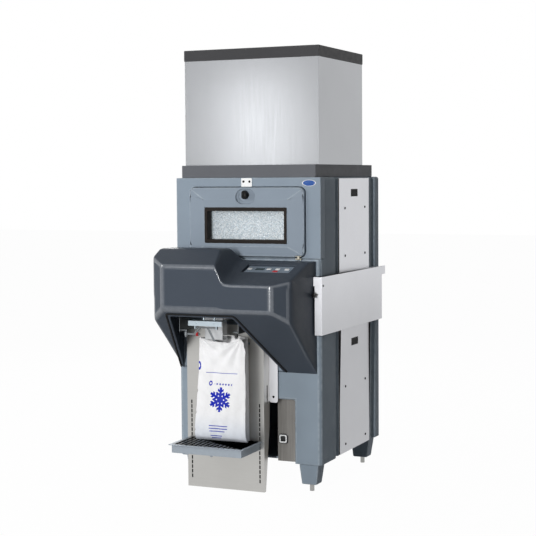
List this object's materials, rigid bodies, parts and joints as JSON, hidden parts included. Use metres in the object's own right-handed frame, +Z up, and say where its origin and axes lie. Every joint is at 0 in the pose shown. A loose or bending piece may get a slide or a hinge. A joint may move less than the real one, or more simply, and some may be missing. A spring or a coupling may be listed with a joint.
{
  "type": "ice bagger",
  "caption": "Floor-standing ice bagger: insulated bin with a hinged window door, modular ice machine on top, front bagging hood with auger chute, slotted panel, drip tray and bag",
  "frame": {"origin": "middle of the floor under the whole part, at the feet's undersides", "axes": "+X right seen from the front, +Y towards the back, +Z up"},
  "size_m": [0.866, 1.321, 2.295],
  "materials": {
    "moulding_dark": "dark grey moulded plastic, fine texture",
    "moulding_blue": "blue-grey moulded plastic",
    "hood_plastic": "slate moulded plastic, satin",
    "plate_dark": "dark grey moulded plastic",
    "stainless": "brushed stainless steel",
    "sheet_light": "light satin sheet metal",
    "panel_steel": "stainless steel, satin",
    "tray_steel": "blue-grey steel",
    "black_plastic": "black plastic",
    "liner_plastic": "white food-grade plastic",
    "ice": "nugget ice, heaped",
    "glass_clear": "clear pane",
    "rubber_black": "black rubber",
    "bezel_brown": "dark brown-black rubber",
    "steel_bright": "bright plated steel",
    "steel_grey": "grey steel",
    "aluminium_fin": "aluminium fins",
    "curtain_clear": "clear flexible plastic",
    "button_white": "off-white key",
    "button_red": "red key",
    "arm_red": "grey arm with a red sleeve",
    "label_grey": "grey keypad plate",
    "badge_blue": "blue gloss",
    "bag_film": "white plastic film with a blue print"
  },
  "bodies": {
    "frame": {"cabinet_body": "moulding_dark", "bin_liner": "liner_plastic", "front_fascia": "moulding_blue", "bin_top_plate": "plate_dark", "legs": "moulding_blue", "leveling_feet": "steel_bright", "upper_side_covers": "sheet_light", "side_cover_left": "sheet_light", "side_cover_right": "sheet_light", "cover_plugs": "black_plastic", "cover_screws": "steel_grey", "badge_plate": "badge_blue", "ice_load": "ice", "door_hinges": "steel_bright", "latch_strike": "steel_bright", "machine_base": "steel_grey", "machine_front": "stainless", "machine_left": "stainless", "machine_right": "stainless", "machine_back": "stainless", "machine_lid": "plate_dark", "evaporator": "steel_bright", "water_trough": "liner_plastic", "compressor": "black_plastic", "condenser": "aluminium_fin", "fan_motor": "steel_grey", "inner_panel": "stainless", "switch_bezel": "black_plastic", "panel_rails": "sheet_light", "shelf_panel": "panel_steel", "hood": "hood_plastic", "control_panel": "label_grey", "display_window": "black_plastic", "mechanism_frame": "steel_grey", "ice_chute": "stainless", "auger_motor": "steel_grey", "bag_bar": "tray_steel"},
    "door": {"access_door": "moulding_blue", "door_seal": "rubber_black", "window_gasket": "bezel_brown", "window_pane": "glass_clear", "door_leaves": "steel_bright"},
    "latch": {"latch_knob": "black_plastic"},
    "star_left": {"star_knob_left": "black_plastic"},
    "star_right": {"star_knob_right": "black_plastic"},
    "curtain": {"water_curtain": "curtain_clear"},
    "fan": {"condenser_fan": "black_plastic"},
    "rocker": {"rocker_switch": "black_plastic"},
    "tray_body": {"tray": "tray_steel", "tray_grille": "black_plastic"},
    "start_key": {"start_button": "button_white"},
    "size_key": {"size_button": "button_white"},
    "count_key": {"count_button": "button_white"},
    "clean_key": {"clean_button": "button_white"},
    "stop_key": {"stop_button": "button_red"},
    "auger_body": {"auger": "stainless"},
    "opener": {"bag_opener": "steel_grey"},
    "arm_l": {"arm_left": "arm_red"},
    "arm_r": {"arm_right": "steel_bright"},
    "bag_body": {"bag": "bag_film"}
  },
  "joints": [
    {"name": "door_hinge", "type": "hinge", "parent": "frame", "child": "door", "pos_m": [0, -0.2865, 1.2085], "axis": [1, 0, 0], "range_deg": [0, 55]},
    {"name": "latch_turn", "type": "hinge", "parent": "door", "child": "latch", "pos_m": [0, -0.2905, 1.537], "axis": [0, -1, 0], "range_deg": [0, 90]},
    {"name": "star_left_turn", "type": "hinge", "parent": "frame", "child": "star_left", "pos_m": [-0.398, -0.3295, 1.032], "axis": [0, 1, 0], "continuous": true},
    {"name": "star_right_turn", "type": "hinge", "parent": "frame", "child": "star_right", "pos_m": [0.398, -0.3295, 1.032], "axis": [0, 1, 0], "continuous": true},
    {"name": "curtain_swing", "type": "hinge", "parent": "frame", "child": "curtain", "pos_m": [0, -0.0695, 2.136], "axis": [-1, 0, 0], "range_deg": [0, 25]},
    {"name": "fan_spin", "type": "hinge", "parent": "frame", "child": "fan", "pos_m": [0.185, 0.3505, 1.944], "axis": [0, 1, 0], "continuous": true},
    {"name": "rocker_tilt", "type": "hinge", "parent": "frame", "child": "rocker", "pos_m": [0.177, -0.2225, 0.267], "axis": [1, 0, 0], "range_deg": [-12, 12]},
    {"name": "tray_height", "type": "slide", "parent": "frame", "child": "tray_body", "axis": [0, 0, -1], "range_m": [0, 0.1476]},
    {"name": "auger_spin", "type": "hinge", "parent": "frame", "child": "auger_body", "pos_m": [-0.098, -0.1745, 0.955], "axis": [0, 1, 0], "continuous": true},
    {"name": "opener_swing", "type": "hinge", "parent": "frame", "child": "opener", "pos_m": [-0.098, -0.5645, 0.872], "axis": [-1, 0, 0], "range_deg": [0, 35]},
    {"name": "arm_left_swing", "type": "hinge", "parent": "frame", "child": "arm_l", "pos_m": [-0.24, -0.5095, 0.832], "axis": [0, 0, -1], "range_deg": [0, 35]},
    {"name": "arm_right_swing", "type": "hinge", "parent": "frame", "child": "arm_r", "pos_m": [0.044, -0.5095, 0.832], "axis": [0, 0, -1], "range_deg": [-35, 0]},
    {"name": "bag_takeout", "type": "slide", "parent": "frame", "child": "bag_body", "axis": [0, -1, 0], "range_m": [0, 0.3]},
    {"name": "start_press", "type": "slide", "parent": "frame", "child": "start_key", "axis": [0, 0.3067, -0.9518], "range_m": [0, 0.0015], "stiffness_N_per_m": 500},
    {"name": "size_press", "type": "slide", "parent": "frame", "child": "size_key", "axis": [0, 0.3067, -0.9518], "range_m": [0, 0.0015], "stiffness_N_per_m": 500},
    {"name": "count_press", "type": "slide", "parent": "frame", "child": "count_key", "axis": [0, 0.3067, -0.9518], "range_m": [0, 0.0015], "stiffness_N_per_m": 500},
    {"name": "clean_press", "type": "slide", "parent": "frame", "child": "clean_key", "axis": [0, 0.3067, -0.9518], "range_m": [0, 0.0015], "stiffness_N_per_m": 500},
    {"name": "stop_press", "type": "slide", "parent": "frame", "child": "stop_key", "axis": [0, 0.3067, -0.9518], "range_m": [0, 0.0015], "stiffness_N_per_m": 500}
  ],
  "couplings": [
    {"joint": "arm_right_swing", "follows": "arm_left_swing", "ratio": -1}
  ]
}
